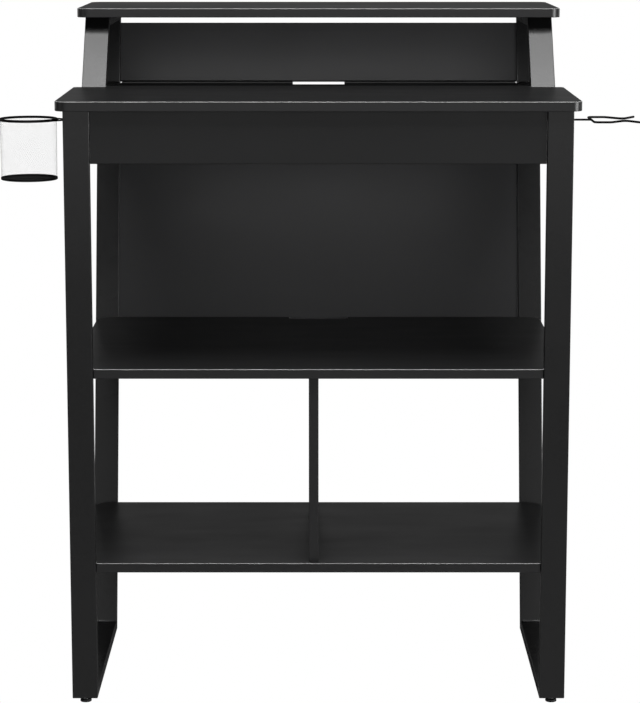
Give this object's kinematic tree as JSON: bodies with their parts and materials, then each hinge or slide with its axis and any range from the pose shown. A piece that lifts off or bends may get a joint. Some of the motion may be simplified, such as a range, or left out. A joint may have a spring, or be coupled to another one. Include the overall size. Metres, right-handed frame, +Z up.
{
  "type": "two-tier standing desk",
  "caption": "Black standing-height desk with a raised rear shelf, leaning steel side frames, open shelves below, a mesh cup and a headphone hook.",
  "frame": {"origin": "on the floor plane under the middle of the outer box", "axes": "+Z up, -Y towards the user at the front, +X to the user's right"},
  "size_m": [0.9888, 0.6894, 1.079],
  "materials": {
    "black_board": "satin black laminate on particle board, matching black edge band",
    "frame_steel": "satin black powder coat on steel tube and plate",
    "black_wire": "semi-gloss black coated steel wire",
    "cup_mesh_steel": "black coated fine steel mesh and sheet",
    "black_screw": "black oxide steel screw",
    "zinc_steel": "bright zinc plated steel",
    "glide_plastic": "moulded matte black plastic",
    "beech_dowel": "plain beech dowel"
  },
  "bodies": {
    "frame": {"accessory_plates": "frame_steel", "accessory_screws": "black_screw", "apron": "black_board", "apron_brackets": "frame_steel", "bracket_screws": "black_screw", "cup_ring": "black_wire", "desktop": "black_board", "desktop_screws": "black_screw", "divider": "black_board", "divider_dowels": "beech_dowel", "divider_screws": "black_screw", "glide_nuts": "zinc_steel", "hook": "black_wire", "joining_plates": "frame_steel", "left_floor_rail": "frame_steel", "left_front_leg": "frame_steel", "left_rear_upright": "frame_steel", "left_riser": "frame_steel", "left_side_rail": "frame_steel", "left_upper_rail": "frame_steel", "lower_back_panel": "black_board", "lower_shelf": "black_board", "middle_shelf": "black_board", "plate_screws": "black_screw", "rear_deck": "black_board", "right_floor_rail": "frame_steel", "right_front_leg": "frame_steel", "right_rear_upright": "frame_steel", "right_riser": "frame_steel", "right_side_rail": "frame_steel", "right_upper_rail": "frame_steel", "shelf_screws": "black_screw", "shelf_tabs": "frame_steel", "top_shelf": "black_board", "top_shelf_screws": "black_screw", "upper_back_panel": "black_board"},
    "glide_front_left": {"glide_pad_front_left": "glide_plastic", "glide_stem_front_left": "zinc_steel"},
    "glide_front_right": {"glide_pad_front_right": "glide_plastic", "glide_stem_front_right": "zinc_steel"},
    "glide_rear_left": {"glide_pad_rear_left": "glide_plastic", "glide_stem_rear_left": "zinc_steel"},
    "glide_rear_right": {"glide_pad_rear_right": "glide_plastic", "glide_stem_rear_right": "zinc_steel"},
    "mesh_cup": {"cup_wall": "cup_mesh_steel", "cup_rim": "cup_mesh_steel", "cup_base": "cup_mesh_steel"}
  },
  "joints": [
    {"name": "level_front_left", "type": "slide", "parent": "frame", "child": "glide_front_left", "axis": [0, 0, -1], "range_m": [0, 0.008]},
    {"name": "level_front_right", "type": "slide", "parent": "frame", "child": "glide_front_right", "axis": [0, 0, -1], "range_m": [0, 0.008]},
    {"name": "level_rear_left", "type": "slide", "parent": "frame", "child": "glide_rear_left", "axis": [0, 0, -1], "range_m": [0, 0.008]},
    {"name": "level_rear_right", "type": "slide", "parent": "frame", "child": "glide_rear_right", "axis": [0, 0, -1], "range_m": [0, 0.008]},
    {"name": "cup_lift", "type": "slide", "parent": "frame", "child": "mesh_cup", "axis": [0, 0, 1], "range_m": [0, 0.12]}
  ]
}
